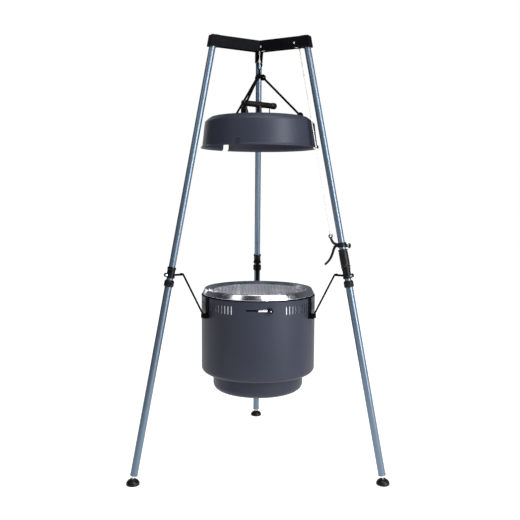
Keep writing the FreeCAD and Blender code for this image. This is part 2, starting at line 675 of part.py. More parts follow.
def lid_guard():
    """A strap down the lid's right side that keeps its wall off the leg and the hoist cord."""
    lip, low, high = d.lip_radius, d.lip_height, d.lid_top
    outline = [
        (lip - 12.3, high - 19), (lip - 8.5, high - 52), (lip - 4.2, low + 9), (lip + 0.6, low + 5),
        (lip + 0.6, low - 1), (lip + 3.4, low - 1), (lip + 3, low + 6.5), (lip - 1.6, low + 11),
        (lip - 6, high - 52), (lip - 9.9, high - 19)]
    finished("lid_guard", padded("lid_guard", outline, d.guard_width), around(d.guard_azimuth.value))


def lid_rods():
    wire = d.rod_wire.value
    upper = V(d.ring_reach.value, 0, d.ring_height.value)
    lower = V(d.lid_eye_reach.value, 0, d.lid_eye_height.value)
    way = (lower - upper).normalize()
    start, end = upper + way * (d.ring_eye.value - 1), lower - way * (d.rod_eye.value - 1)
    shaft = Part.makeCylinder(wire, (end - start).Length, start, way)
    shape = shaft.fuse([wire_eye(upper, d.ring_eye.value, wire), wire_eye(lower, d.rod_eye.value, wire)])
    for index in range(3):
        finished(f"lid_rod_{index + 1}", made(shape), around(d.lid_turn.value + 120 * index))


# ---------------------------------------------------------------- hoist

def gathering_ring():
    """A wire ring under a small hub, and the wire hook that the hub hangs on."""
    hub = V(0, 0, d.hub_height.value)
    shapes = [Part.makeTorus(d.ring_reach.value, d.ring_wire.value, V(0, 0, d.ring_height.value), Z_AXIS)]
    for index in range(3):
        azimuth = math.radians(d.lid_turn.value + 60 + 120 * index)
        foot = V(math.cos(azimuth), math.sin(azimuth), 0) * d.ring_reach.value + V(0, 0, d.ring_height.value)
        shapes.append(Part.makeCylinder(1.5, (hub - foot).Length, foot, hub - foot))
    shapes.append(Part.makeCylinder(3, 4, hub - V(0, 0, 2)))
    finished("gathering_ring", made(shapes[0].fuse(shapes[1:]).removeSplitter()))
    top, half, bottom = d.hook_top.value, d.hook_half_width.value, d.hook_bottom.value
    loop = bent_path([V(0, 0, top), V(-half, 0, top), V(0, 0, bottom), V(half, 0, top), V(0, 0, top)], 3.4)
    stem_start = d.hub_height.value + 2.02
    stem = Part.makeCylinder(2.2, bottom + 5 - stem_start, V(0, 0, stem_start))
    finished("cord_hook", made(round_wire(loop, d.hook_wire.value).fuse(stem).removeSplitter()))


def slider():
    """A clamp band that slides on the right leg, with a two-horned cleat and a clamp knob."""
    height, wire = d.slider_height.value, d.cleat_wire.value
    along = height / math.cos(TILT)
    leg = on_leg(LEGS["right"])
    centre = leg.multVec(V(0, 0, along))
    band = Part.makeCylinder(d.slider_radius.value, d.slider_length.value)
    band.Placement = leg * shift(0, 0, along - d.slider_length.value / 2)
    upper = bent_path([centre + V(-9, 0, 2), centre + V(-25, 0, 5), centre + V(-33, 0, 21)], 8)
    lower = bent_path([centre + V(-9, 0, -2), centre + V(-22, 0, -3), centre + V(-32, 0, -36),
                       centre + V(-50, 0, -59)], 12)
    eye = Part.makeTorus(4.6, 2.2, centre + V(-34, 0, 26), Y_AXIS)
    boss = Part.makeCylinder(5, 8.6, centre + V(9, 0, -2), X_AXIS)
    tip = Part.makeSphere(wire, centre + V(-50, 0, -59))
    solid = band.fuse([round_wire(upper, wire), round_wire(lower, wire), eye, boss, tip])
    passage = Part.makeCylinder(d.upper_tube.value + 0.08, 120)
    passage.Placement = leg * shift(0, 0, along - 60)
    thread = Part.makeCylinder(d.screw_shank.value + 0.05, 40, centre + V(0, 0, -2), X_AXIS)
    finished("slider_clamp", made(solid.cut(passage.fuse(thread)).removeSplitter()))
    start, end = d.knob_start, d.knob_start + d.knob_disc_length
    knob = revolved("clamp_knob", [
        (0, 12), (d.screw_shank, 12), (d.screw_shank, start), (d.knob_disc, start), (d.knob_disc, end - 2),
        (d.knob_disc - 2, end, 2.2), (0, end)])
    finished("clamp_knob", knob, turned(Y_AXIS, 90, centre + V(0, 0, -2)))
    return centre + V(-34, 0, 26 + 4.6 + 2.2)


def hoist_cord(eye_top):
    """One cord: from the slider's eye up to the arm, over both pulleys and down to the hook."""
    radius, wrap, height = d.cord_radius.value, d.cord_wrap.value, d.pulley_height.value
    arm, underside = d.arm_axle.value, (d.head_top - d.arm_height).value
    top = V(0, 0, d.hook_top.value + d.hook_wire.value + 0.1)
    gap = V(0, 0, 0.05)
    drop_start = V(0, 0, underside)
    path = bent_path([drop_start, V(0, 0, height + wrap), V(arm + wrap, 0, height + wrap),
                      V(arm + wrap, 0, underside)], wrap)
    finished("hoist_cord_arm", made(round_wire(path, radius)), around(LEGS["right"]))
    finished("hoist_cord_drop", made(Part.makeCylinder(radius, (drop_start - gap - top).Length, top)))
    out = around(LEGS["right"]).multVec(V(arm + wrap, 0, underside)) - gap * 8
    low = eye_top + gap * 2
    finished("hoist_cord_run", made(Part.makeCylinder(radius, (out - low).Length, low, out - low)))


# ---------------------------------------------------------------- assembly

head_bracket()
leg_sockets()
pulleys()
leg_tubes()
lock_nuts()
hanger_collars()
grip_sleeve()
feet()
drum()
rim_straps()
inner_bowl()
grate("charcoal_grate", d.fire_grate_radius, d.fire_grate_level, 1.5 * d.strand_pitch)
grate("cooking_grate", d.grate_radius, d.bowl_ledge + 0.05, d.strand_pitch)
lid()
lid_handle()
lid_guard()
lid_rods()
gathering_ring()
hoist_cord(slider())
doc.recompute()

for thing in doc.Objects:
    if {"Invalid", "Error"} & set(thing.State):
        raise RuntimeError(f"{thing.Label} failed: {thing.State}")
for part in parts:
    if part.Shape.isNull() or not part.Shape.isValid():
        raise RuntimeError(f"{part.Label} has no valid shape")

os.makedirs("parts", exist_ok=True)
for part in parts:
    part.Shape.exportStep(f"parts/{part.Label}.step")
print(len(parts), "sub-parts written")
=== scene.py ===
import json
import math
import bmesh
import bpy
from mathutils import Matrix, Vector

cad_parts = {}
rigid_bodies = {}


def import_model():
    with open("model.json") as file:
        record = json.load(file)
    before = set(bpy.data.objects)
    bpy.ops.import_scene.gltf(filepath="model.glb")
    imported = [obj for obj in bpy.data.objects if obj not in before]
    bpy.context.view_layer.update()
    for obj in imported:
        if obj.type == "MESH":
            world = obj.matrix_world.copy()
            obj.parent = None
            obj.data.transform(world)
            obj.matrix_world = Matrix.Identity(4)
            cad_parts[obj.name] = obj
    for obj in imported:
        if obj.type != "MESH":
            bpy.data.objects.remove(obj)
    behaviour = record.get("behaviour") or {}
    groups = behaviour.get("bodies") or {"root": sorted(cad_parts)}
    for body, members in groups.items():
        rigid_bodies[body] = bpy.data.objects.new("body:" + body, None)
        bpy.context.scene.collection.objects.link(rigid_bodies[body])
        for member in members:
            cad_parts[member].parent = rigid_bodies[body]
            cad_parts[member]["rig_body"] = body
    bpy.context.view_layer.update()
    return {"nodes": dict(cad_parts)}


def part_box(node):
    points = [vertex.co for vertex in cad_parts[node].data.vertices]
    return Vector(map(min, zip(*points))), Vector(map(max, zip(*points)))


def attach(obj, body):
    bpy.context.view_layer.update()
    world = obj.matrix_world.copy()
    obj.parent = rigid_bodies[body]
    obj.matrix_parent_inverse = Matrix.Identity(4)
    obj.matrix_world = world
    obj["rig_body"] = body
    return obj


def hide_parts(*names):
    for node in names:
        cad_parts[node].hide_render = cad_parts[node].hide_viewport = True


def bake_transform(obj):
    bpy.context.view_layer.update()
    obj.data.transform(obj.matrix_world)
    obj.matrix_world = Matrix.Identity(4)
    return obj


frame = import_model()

MM = 0.001
LEGS = {"rear": 90, "left": 210, "right": 330}
LEG_TILT = math.radians(11.665)
FOOT_CIRCLE = 428.2 * MM
TUBE_BORE = 10.05 * MM
DRUM_SHEET = 1.5 * MM
DAMPER_HEIGHT = 511.8 * MM
LID_TOP = 1088 * MM
LID_TURN, HANDLE_TURN = 8, 37
CORD_RADIUS = 1.3 * MM
FULL_TURN = 2 * math.pi


# ---------------------------------------------------------------- camera

def make_camera():
    """A level-headed product shot: just under the legs' middle height, looking slightly down."""
    down, roll = math.radians(5.476), math.radians(0.322)
    ahead = Vector((0.0167, 0.9999, 0))
    look = ahead * math.cos(down) + Vector((0, 0, -math.sin(down)))
    right = ahead.cross(Vector((0, 0, 1))).normalized()
    up = right.cross(look)
    rolled_right = right * math.cos(roll) + up * math.sin(roll)
    rolled_up = up * math.cos(roll) - right * math.sin(roll)
    data = bpy.data.cameras.new("camera")
    data.sensor_width = 36
    data.lens = 47.32
    camera = bpy.data.objects.new("camera", data)
    bpy.context.scene.collection.objects.link(camera)
    turn = Matrix((rolled_right, rolled_up, -look)).transposed().to_4x4()
    camera.matrix_world = Matrix.Translation((-0.03105, -2.1568, 0.8515)) @ turn
    bpy.context.scene.camera = camera


# ---------------------------------------------------------------- materials

def node_material(name, base, accent, rough, metallic=0.0, blotch=18, grain=900, spread=0.06,
                  bump=0.05, depth=0.0002, stretch=(1, 1, 1), dents=0.0, specular=0.5):
    """A finish with colour drift, and a fine grain that drives roughness and bump."""
    material = bpy.data.materials.new(name)
    material.use_nodes = True
    nodes, links = material.node_tree.nodes, material.node_tree.links
    shader = nodes["Principled BSDF"]
    shader.inputs["Metallic"].default_value = metallic
    shader.inputs["Specular IOR Level"].default_value = specular
    place = nodes.new("ShaderNodeTexCoord")
    mapping = nodes.new("ShaderNodeMapping")
    mapping.inputs["Scale"].default_value = stretch
    links.new(place.outputs["Object"], mapping.inputs["Vector"])

    def noise(scale, detail):
        texture = nodes.new("ShaderNodeTexNoise")
        texture.inputs["Scale"].default_value = scale
        texture.inputs["Detail"].default_value = detail
        links.new(mapping.outputs["Vector"], texture.inputs["Vector"])
        return texture.outputs["Fac"]

    drift = nodes.new("ShaderNodeValToRGB")
    drift.color_ramp.elements[0].position, drift.color_ramp.elements[1].position = 0.35, 0.65
    drift.color_ramp.elements[0].color = (*base, 1)
    drift.color_ramp.elements[1].color = (*accent, 1)
    links.new(noise(blotch, 4), drift.inputs["Fac"])
    links.new(drift.outputs["Color"], shader.inputs["Base Color"])
    fine = noise(grain, 3)
    gloss = nodes.new("ShaderNodeMapRange")
    gloss.inputs["To Min"].default_value = rough - spread
    gloss.inputs["To Max"].default_value = rough + spread
    links.new(fine, gloss.inputs["Value"])
    links.new(gloss.outputs["Result"], shader.inputs["Roughness"])
    relief = nodes.new("ShaderNodeBump")
    relief.inputs["Strength"].default_value = bump
    relief.inputs["Distance"].default_value = depth
    links.new(fine, relief.inputs["Height"])
    links.new(relief.outputs["Normal"], shader.inputs["Normal"])
    if dents:
        waves = nodes.new("ShaderNodeBump")
        waves.inputs["Strength"].default_value = dents
        waves.inputs["Distance"].default_value = 0.002
        links.new(noise(26, 1), waves.inputs["Height"])
        links.new(waves.outputs["Normal"], relief.inputs["Normal"])
    return material


def cord_material():
    """Beige braided cord: two crossed sets of fine diagonal bands."""
    material = node_material("cord_braid", (0.70, 0.66, 0.59), (0.82, 0.78, 0.72), 0.75, blotch=220, bump=0.3)
    nodes, links = material.node_tree.nodes, material.node_tree.links
    place = nodes["Texture Coordinate"]
    heights = []
    for way in (1, -1):
        turn = nodes.new("ShaderNodeMapping")
        turn.inputs["Rotation"].default_value = (0, math.radians(40 * way), 0)
        bands = nodes.new("ShaderNodeTexWave")
        bands.inputs["Scale"].default_value = 420
        links.new(place.outputs["Object"], turn.inputs["Vector"])
        links.new(turn.outputs["Vector"], bands.inputs["Vector"])
        heights.append(bands.outputs["Fac"])
    braid = nodes.new("ShaderNodeMath")
    braid.operation = "MAXIMUM"
    for index, height in enumerate(heights):
        links.new(height, braid.inputs[index])
    relief = nodes.new("ShaderNodeBump")
    relief.inputs["Strength"].default_value = 0.8
    relief.inputs["Distance"].default_value = 0.0004
    links.new(braid.outputs["Value"], relief.inputs["Height"])
    links.new(relief.outputs["Normal"], nodes["Principled BSDF"].inputs["Normal"])
    return material


ALONG = (1, 1, 0.03)
FINISH = {
    "head_black": node_material("powder_black", (0.0022, 0.0022, 0.003), (0.004, 0.004, 0.0055), 0.55,
                                bump=0.25, specular=0.03),
    "bright_steel": node_material("zinc_steel", (0.66, 0.67, 0.70), (0.80, 0.81, 0.84), 0.24, metallic=1,
                                  grain=1400, spread=0.1, bump=0.1),
    "moulded_black": node_material("moulded_black", (0.0022, 0.0022, 0.003), (0.0045, 0.0045, 0.006), 0.30,
                                   grain=1800, bump=0.2, specular=0.18),
    "leg_blue_grey": node_material("leg_lacquer", (0.115, 0.158, 0.212), (0.148, 0.196, 0.255), 0.34,
                                   metallic=0.7, grain=1600, spread=0.07, bump=0.06, stretch=ALONG),
    "rod_black": node_material("rod_black", (0.0018, 0.0018, 0.0022), (0.004, 0.0038, 0.0042), 0.62,
                               grain=1300,
                               bump=0.15, specular=0.02),
    "foot_rubber": node_material("foot_rubber", (0.0022, 0.0022, 0.003), (0.0045, 0.0045, 0.006), 0.38,
                                 grain=1500,
                                 bump=0.35, specular=0.25),
    "drum_enamel": node_material("enamel_anthracite", (0.0222, 0.0248, 0.0395), (0.026, 0.029, 0.046), 0.46,
                                 metallic=0.1, blotch=7, grain=1100, bump=0.16, specular=0.25),
    "chrome": node_material("polished_chrome", (0.80, 0.80, 0.87), (0.88, 0.88, 0.94), 0.20, metallic=1,
                            grain=600, spread=0.04, bump=0.03, dents=0.6),
    "handle_black": node_material("handle_resin", (0.0022, 0.002, 0.0024), (0.006, 0.005, 0.005), 0.38,
                                  grain=700,
                                  bump=0.4, depth=0.0004, specular=0.26),
    "pulley_nylon": node_material("pulley_nylon", (0.62, 0.60, 0.55), (0.70, 0.68, 0.63), 0.45, grain=1000,
                                  bump=0.12),
    "cord_beige": cord_material(),
}
GRATE_STEEL = node_material("grate_plating", (0.80, 0.80, 0.88), (1.0, 1.0, 1.0), 0.36, metallic=0.9,
                            blotch=32, grain=1500, spread=0.12, bump=0.2, stretch=(0.4, 1, 1))
# A darker copy of the bright metal: painted shade, for the bowl's outer wall and the grate's underside.
PAINTED_SHADE_METAL = node_material("painted_shade_metal", (0.13, 0.135, 0.145), (0.18, 0.185, 0.195), 0.42, metallic=1,
                          grain=1300, spread=0.08, bump=0.1)
CAST_IRON = node_material("cast_iron", (0.018, 0.018, 0.019), (0.035, 0.033, 0.032), 0.65, metallic=0.5,
                          blotch=80, grain=900, bump=0.6, depth=0.0004)


# ---------------------------------------------------------------- geometry

def rounded(points, closed=True, steps=5):
    """Corners (x, y) or (x, y, radius): each radius becomes an arc."""
    line, count = [], len(points)
    for index, point in enumerate(points):
        if len(point) == 2 or (not closed and index in (0, count - 1)):
            line.append(tuple(point[:2]))
            continue
        corner, radius = Vector(point[:2]), point[2]
        back = (Vector(points[index - 1][:2]) - corner).normalized()
        on = (Vector(points[(index + 1) % count][:2]) - corner).normalized()
        half = back.angle(on) / 2
        centre = corner + (back + on).normalized() * (radius / math.sin(half))
        first = corner + back * (radius / math.tan(half)) - centre
        last = corner + on * (radius / math.tan(half)) - centre
        for step in range(steps + 1):
            line.append(tuple(centre + first.lerp(last, step / steps).normalized() * radius))
    return line


def millimetres(points):
    return [tuple(number * MM for number in point) for point in points]


def lathe(profile, segments=96, swell=None, closed=True):
    """(radius, height) points turned about Z. swell(angle, height) is added to the radius."""
    vertices, faces, rows = [], [], []
    for radius, height in profile:
        if radius < 1e-6:
            rows.append([len(vertices)] * segments)
            vertices.append((0, 0, height))
            continue
        rows.append([len(vertices) + index for index in range(segments)])
        for index in range(segments):
            angle = FULL_TURN * index / segments
            reach = radius + (swell(angle, height) if swell else 0)
            vertices.append((reach * math.cos(angle), reach * math.sin(angle), height))
    pairs = list(zip(rows, rows[1:])) + ([(rows[-1], rows[0])] if closed else [])
    for low, high in pairs:
        for index in range(segments):
            after = (index + 1) % segments
            face = [low[index], low[after], high[after], high[index]]
            face = [v for place, v in enumerate(face) if v not in face[:place]]
            if len(face) > 2:
                faces.append(face)
    return vertices, faces


def disc(radius, sides=12, flat=1.0):
    return [(radius * math.cos(FULL_TURN * k / sides), radius * flat * math.sin(FULL_TURN * k / sides))
            for k in range(sides)]


def sweep(points, section, closed=False, size=None, up=None):
    """A section carried along points. size gives its scale at each point, and up holds it upright."""
    points = [Vector(point) for point in points]
    count, width = len(points), len(section)
    vertices, faces, side = [], [], None
    for index, point in enumerate(points):
        before = points[index - 1] if index or closed else point
        after = points[(index + 1) % count] if index < count - 1 or closed else point
        way = (after - before).normalized()
        if up is not None:
            side = way.cross(Vector(up)).normalized()
        elif side is None:
            side = way.orthogonal().normalized()
        else:
            side = (side - way * side.dot(way)).normalized()
        lift = side.cross(way)
        scale = size[index] if size else 1
        vertices += [tuple(point + side * (x * scale) + lift * (y * scale)) for x, y in section]
    for ring in range(count if closed else count - 1):
        start, on = ring * width, (ring + 1) % count * width
        for k in range(width):
            after = (k + 1) % width
            faces.append([start + k, start + after, on + after, on + k])
    if not closed:
        faces.append(list(range(width)))
        faces.append([(count - 1) * width + k for k in range(width)])
    return vertices, faces


def smooth_line(points, steps=6):
    """A Catmull-Rom line through given points."""
    points = [Vector(point) for point in points]
    line = []
    for index in range(len(points) - 1):
        a, b = points[max(index - 1, 0)], points[index]
        c, d = points[index + 1], points[min(index + 2, len(points) - 1)]
        for step in range(steps):
            t = step / steps
            line.append(0.5 * (2 * b + (c - a) * t + (2 * a - 5 * b + 4 * c - d) * t ** 2
                               + (3 * b - a - 3 * c + d) * t ** 3))
    return line + [points[-1]]


def ring_line(centre, radius, axis, count=40):
    """Points round a circle about an axis."""
    side = Vector(axis).orthogonal().normalized()
    lift = Vector(axis).normalized().cross(side)
    return [Vector(centre) + side * radius * math.cos(FULL_TURN * k / count)
            + lift * radius * math.sin(FULL_TURN * k / count) for k in range(count)]


def plate(outline, thickness):
    """An (x, z) outline with this thickness along Y."""
    count = len(outline)
    vertices = [(x, side * thickness / 2, z) for side in (-1, 1) for x, z in outline]
    faces = [list(range(count)), list(range(2 * count - 1, count - 1, -1))]
    faces += [[k, (k + 1) % count, (k + 1) % count + count, k + count] for k in range(count)]
    return vertices, faces


def moved(geometry, place):
    return [tuple(place @ Vector(vertex)) for vertex in geometry[0]], geometry[1]


def merged(*shapes):
    vertices, faces = [], []
    for shape_vertices, shape_faces in shapes:
        start = len(vertices)
        vertices += shape_vertices
        faces += [[start + index for index in face] for face in shape_faces]
    return vertices, faces


def arc(reach, height, start, end, steps):
    """Points on a level arc round the Z axis."""
    angles = (start + (end - start) * k / steps for k in range(steps + 1))
    return [Vector((math.cos(a), math.sin(a), 0)) * reach + Vector((0, 0, height)) for a in angles]


def apart(angle, other):
    """The angle between two directions, from 0 to half a turn."""
    return abs((angle - other + math.pi) % FULL_TURN - math.pi)


def around(azimuth):
    return Matrix.Rotation(math.radians(azimuth), 4, "Z")


def shift(x, y, z):
    return Matrix.Translation((x, y, z))


def on_leg(azimuth, along=0.0):
    """The frame of a leg: +Z runs up its axis, from this distance along it."""
    lean = Matrix.Rotation(-LEG_TILT, 4, "Y")
    return around(azimuth) @ shift(FOOT_CIRCLE, 0, 0) @ lean @ shift(0, 0, along)


def radius_of(node):
    """The radius of a rear-leg node, whose axis lies in the plane x = 0."""
    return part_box(node)[1].x


def span_on_leg(node, low_radius, high_radius):
    """Where a turned node starts and ends along its leg, from its box."""
    low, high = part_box(node)
    lean, rise = math.sin(LEG_TILT), math.cos(LEG_TILT)
    return (low.z + low_radius * lean) / rise, (high.z - high_radius * lean) / rise


# ---------------------------------------------------------------- pieces

def piece(name, geometry, finish, body, nodes=(), place=None, smooth=40, bevel=0.0):
    """A new piece of the object: its mesh, its finish, its body and the CAD nodes it stands for."""
    mesh = bpy.data.meshes.new(name)
    mesh.from_pydata(geometry[0], [], geometry[1])
    work = bmesh.new()
    work.from_mesh(mesh)
    bmesh.ops.recalc_face_normals(work, faces=work.faces)
    work.to_mesh(mesh)
    work.free()
    return dressed(name, mesh, finish, body, nodes, place, smooth, bevel)


def dressed(name, mesh, finish, body, nodes=(), place=None, smooth=40, bevel=0.0, segments=2):
    """A piece made from a mesh: shading, eased edges, finish, body and the nodes it stands for."""
    mesh.shade_smooth()
    mesh.set_sharp_from_angle(angle=math.radians(smooth))
    shape = bpy.data.objects.new(name, mesh)
    bpy.context.scene.collection.objects.link(shape)
    if place is not None:
        shape.matrix_world = place
    if bevel:
        edge = shape.modifiers.new("edges", "BEVEL")
        edge.width = bevel
        edge.segments = segments
        edge.limit_method = "ANGLE"
        edge.angle_limit = math.radians(smooth)
        edge.harden_normals = True
    mesh.materials.clear()
    mesh.materials.append(FINISH[finish] if isinstance(finish, str) else finish)
    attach(shape, body)
    if nodes:
        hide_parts(*nodes)
    return shape


def softened(node, name, finish, body, bevel, segments=3, smooth=30):
    """A copy of a CAD node's mesh with its flat faces merged and its edges rounded."""
    mesh = frame["nodes"][node].data.copy()
    mesh.name = name
    work = bmesh.new()
    work.from_mesh(mesh)
    bmesh.ops.remove_doubles(work, verts=work.verts, dist=0.00002)
    bmesh.ops.dissolve_limit(work, angle_limit=math.radians(1), verts=work.verts, edges=work.edges)
    work.to_mesh(mesh)
    work.free()
    if mesh.has_custom_normals:
        mesh.normals_split_custom_set([(0, 0, 0)] * len(mesh.loops))
    return dressed(name, mesh, finish, body, [node], smooth=smooth, bevel=bevel, segments=segments)


def refine(node, finish):
    """A CAD node whose shape is right keeps it, and gets a finish."""
    shape = frame["nodes"][node]
    material = FINISH[finish] if isinstance(finish, str) else finish
    if not shape.material_slots:
        shape.data.materials.append(material)
    for material_slot in shape.material_slots:
        material_slot.material = material


def moulded(shape, voxel, rounds=3):
    """Fuses overlapping closed shells into one moulded skin with soft fillets."""
    fuse = shape.modifiers.new("fuse", "REMESH")
    fuse.mode = "VOXEL"
    fuse.voxel_size = voxel
    fuse.use_smooth_shade = True
    relax = shape.modifiers.new("relax", "SMOOTH")
    relax.iterations = rounds
    return shape


# ---------------------------------------------------------------- hoist cord

SLIDER_HEIGHT = 704 * MM
SLIDER_AT = on_leg(LEGS["right"], SLIDER_HEIGHT / math.cos(LEG_TILT)).translation


def hoist_cord():
    """The taut cord from the arm to the slider's eye, and from the head down to the lid's hook."""
    run_low, run_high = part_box("hoist_cord_run")
    drop_low, drop_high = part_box("hoist_cord_drop")
    leaves_arm = Vector((run_low.x + CORD_RADIUS, run_high.y - CORD_RADIUS, run_high.z))
    at_eye = Vector((run_high.x - CORD_RADIUS, run_low.y + CORD_RADIUS, run_low.z))
    leaves_head, at_hook = Vector((0, 0, drop_high.z)), Vector((0, 0, drop_low.z))
    section = disc(CORD_RADIUS, 16)
    for name, ends, body, knot in (
            ("cord_run", (leaves_arm, at_eye), "slider", eye_knot(at_eye, leaves_arm)),
            ("cord_drop", (leaves_head, at_hook), "hoist_hook", hook_knot(at_hook))):
        cord = piece(name, sweep(ends, section), "cord_beige", "tripod", smooth=60)
        cord.parent = None
        del cord["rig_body"]
        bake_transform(cord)
        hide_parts(f"hoist_{name}")
    refine("hoist_cord_arm", "cord_beige")


def turns(start, way, radius, pitch, count, steps=14):
    """A helix of cord round a line."""
    way = Vector(way).normalized()
    side = way.orthogonal().normalized()
    lift = way.cross(side)
    return [Vector(start) + way * (pitch * k / steps)
            + (side * math.cos(FULL_TURN * k / steps) + lift * math.sin(FULL_TURN * k / steps)) * radius
            for k in range(int(count * steps) + 1)]


def eye_knot(at_eye, leaves_arm):
    """The cord's loop through the slider's eye, three turns round the standing part, and the tail."""
    way = (leaves_arm - at_eye).normalized()
    loop = sweep(ring_line(at_eye + Vector((0, 0, -2.2 * MM)), 3.4 * MM, (1, 0, 0)), disc(CORD_RADIUS, 10),
                 closed=True)
    wrap = turns(at_eye + way * 1.5 * MM, way, 2.2 * MM, 2.6 * MM, 3.2)
    tail = smooth_line([wrap[-1], wrap[-1] + Vector((4, -1, 1)) * MM, wrap[-1] + Vector((7, -1, -4)) * MM,
                        wrap[-1] + Vector((9, 0, -11)) * MM])
    knot = sweep(wrap + tail[1:], disc(CORD_RADIUS, 10))
    return piece("eye_knot", merged(loop, knot), "cord_beige", "slider", smooth=60)


def hook_knot(at_hook):
    """The same knot above the wire hook."""
    loop = sweep(ring_line(at_hook + Vector((0, 0, -1.7 * MM)), 2.9 * MM, (1, 0, 0)), disc(CORD_RADIUS, 10),
                 closed=True)
    wrap = turns(at_hook + Vector((0, 0, 1.5 * MM)), (0, 0, 1), 2.2 * MM, 2.6 * MM, 2.6)
    return piece("hook_knot", merged(loop, sweep(wrap, disc(CORD_RADIUS, 10))), "cord_beige", "hoist_hook",
                 smooth=60)


# ---------------------------------------------------------------- tripod

def head():
    softened("head_bracket", "head_channel", "head_black", "tripod", 0.7 * MM)
    for name in LEGS:
        softened(f"leg_socket_{name}", f"head_socket_{name}", "head_black", "tripod", 1.6 * MM)
    for node in ("center_pulley", "arm_pulley"):
        refine(node, "pulley_nylon")
    refine("pulley_axles", "bright_steel")
    low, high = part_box("cord_guide")
    middle = (low + high) / 2
    bush = rounded(millimetres([(2, -3.2), (4.2, -3.2, 0.8), (5.4, -0.4, 0.3), (5.4, 0), (4, 0), (4, 2),
                                (2, 2)]))
    centre = around(LEGS["right"]) @ Vector(((middle.x ** 2 + middle.y ** 2) ** 0.5, 0, low.z))
    piece("cord_bush", lathe(bush, 48), "moulded_black", "tripod", ["cord_guide"], shift(*centre))


def tube_profile(inner, outer, start, end, flare=0.0):
    """A tube's wall with dressed ends. A flare is a rolled ring at its lower end."""
    edge = 0.35 * MM
    foot = [(inner, start), (outer, start, edge)]
    if flare:
        ring = 4 * MM
        foot = [(inner, start), (outer + flare, start, edge), (outer + flare, start + ring, edge),
                (outer, start + ring + flare)]
    return rounded(foot + [(outer, end, edge), (inner, end)])


def legs():
    for name, azimuth in LEGS.items():
        for kind, wall, flare, body in (("upper", 1.0 * MM, 0, "tripod"),
                                        ("lower", 0.91 * MM, 0.5 * MM, f"lower_leg_{name}")):
            node = f"{kind}_leg_{name}"
            outer = radius_of(f"{kind}_leg_rear")
            start, end = span_on_leg(node, outer, outer)
            profile = tube_profile(outer - wall, outer, start, end, flare)
            piece(f"{kind}_tube_{name}", lathe(profile, 72), "leg_blue_grey", body, [node], on_leg(azimuth))


def lock_nuts():
    """Twist locks with grip ribs."""
    outer = radius_of("lock_nut_rear")
    ribs, rib_low, rib_high, depth = 22, 2.4 * MM, 14.2 * MM, 0.75 * MM

    def groove(angle, height):
        if not rib_low < height < rib_high:
            return 0
        return -depth * max(0, math.cos(ribs * angle)) ** 2

    for name, azimuth in LEGS.items():
        start, end = span_on_leg(f"lock_nut_{name}", outer - 1 * MM, outer - 2.5 * MM)
        length = end - start
        bore, lip = 11.08 * MM, 10.09 * MM
        profile = rounded([
            (bore, 0), (outer - 1 * MM, 0, 0.5 * MM), (outer, 1.6 * MM, 0.4 * MM), (outer, 2.3 * MM),
            (outer, 2.6 * MM), (outer, 8 * MM), (outer, 14 * MM), (outer, 14.3 * MM),
            (outer, 15.8 * MM, 0.6 * MM),
            (outer - 2.5 * MM, length, 0.6 * MM), (lip, length), (lip, 12.5 * MM), (bore, 12.5 * MM)],
            steps=3)
        piece(f"twist_lock_{name}", lathe(profile, ribs * 8, swell=groove), "moulded_black",
              f"lock_nut_{name}",
              [f"lock_nut_{name}"], on_leg(azimuth, start))


def collars():
    """Clamp collars with a waist between two flanges, a split lug and its screw."""
    ring = radius_of("hanger_collar_rear")
    waist, flange, lug_reach = ring - 1 * MM, 7 * MM, 19 * MM
    for name, azimuth in LEGS.items():
        start, end = span_on_leg(f"hanger_collar_{name}", ring, waist)
        length = end - start
        profile = rounded([
            (TUBE_BORE, 0), (ring, 0, 0.9 * MM), (ring, flange - 1 * MM, 0.8 * MM),
            (waist - 0.6 * MM, flange + 0.6 * MM, 0.8 * MM),
            (waist - 0.6 * MM, length - flange - 1 * MM, 0.8 * MM),
            (ring - 0.4 * MM, length - flange + 1 * MM, 0.8 * MM),
            (ring - 0.4 * MM, length, 1 * MM), (TUBE_BORE, length)])
        piece(f"clamp_collar_{name}", lathe(profile, 72), "moulded_black", "tripod",
              [f"hanger_collar_{name}"], on_leg(azimuth, start))
        lug = rounded([(waist - 1 * MM, 1 * MM), (lug_reach, 1 * MM, 4 * MM), (lug_reach, 13 * MM, 4 * MM),
                       (waist - 1 * MM, 13 * MM)])
        for side, letter in ((-1, "a"), (1, "b")):
            place = on_leg(azimuth, start) @ shift(0, side * 3.3 * MM, 0)
            piece(f"collar_lug_{name}_{letter}", plate(lug, 5 * MM), "moulded_black", "tripod", (), place,
                  smooth=50, bevel=0.5 * MM)
        refine(f"hanger_bail_{name}", "rod_black")
    refine("collar_screws", "bright_steel")


def grip():
    """The rubber hand grip: beaded ends, shallow finger rings and a slight barrel."""
    lip = 14.4 * MM
    start, end = span_on_leg("grip_sleeve", lip, lip)
    length, hold = end - start, 13.3 * MM
    outline = [(TUBE_BORE, 0), (lip, 0, 1.2 * MM), (lip, 3.4 * MM, 1 * MM), (hold - 0.4 * MM, 5.2 * MM)]
    rings = 7
    for index in range(rings):
        middle = 8 * MM + (length - 16 * MM) * (index + 0.5) / rings
        barrel = 0.5 * MM * math.sin(math.pi * middle / length)
        outline += [(hold + barrel, middle - 2.4 * MM, 0.5 * MM),
                    (hold + barrel, middle + 2.4 * MM, 0.5 * MM),
                    (hold + barrel - 0.45 * MM, middle + 2.9 * MM)]
    outline += [(hold - 0.4 * MM, length - 5.2 * MM), (lip, length - 3.4 * MM, 1 * MM),
                (lip, length, 1.2 * MM), (TUBE_BORE, length)]
    piece("hand_grip", lathe(rounded(outline, steps=3), 84), "handle_black", "tripod", ["grip_sleeve"],
          on_leg(LEGS["right"], start))


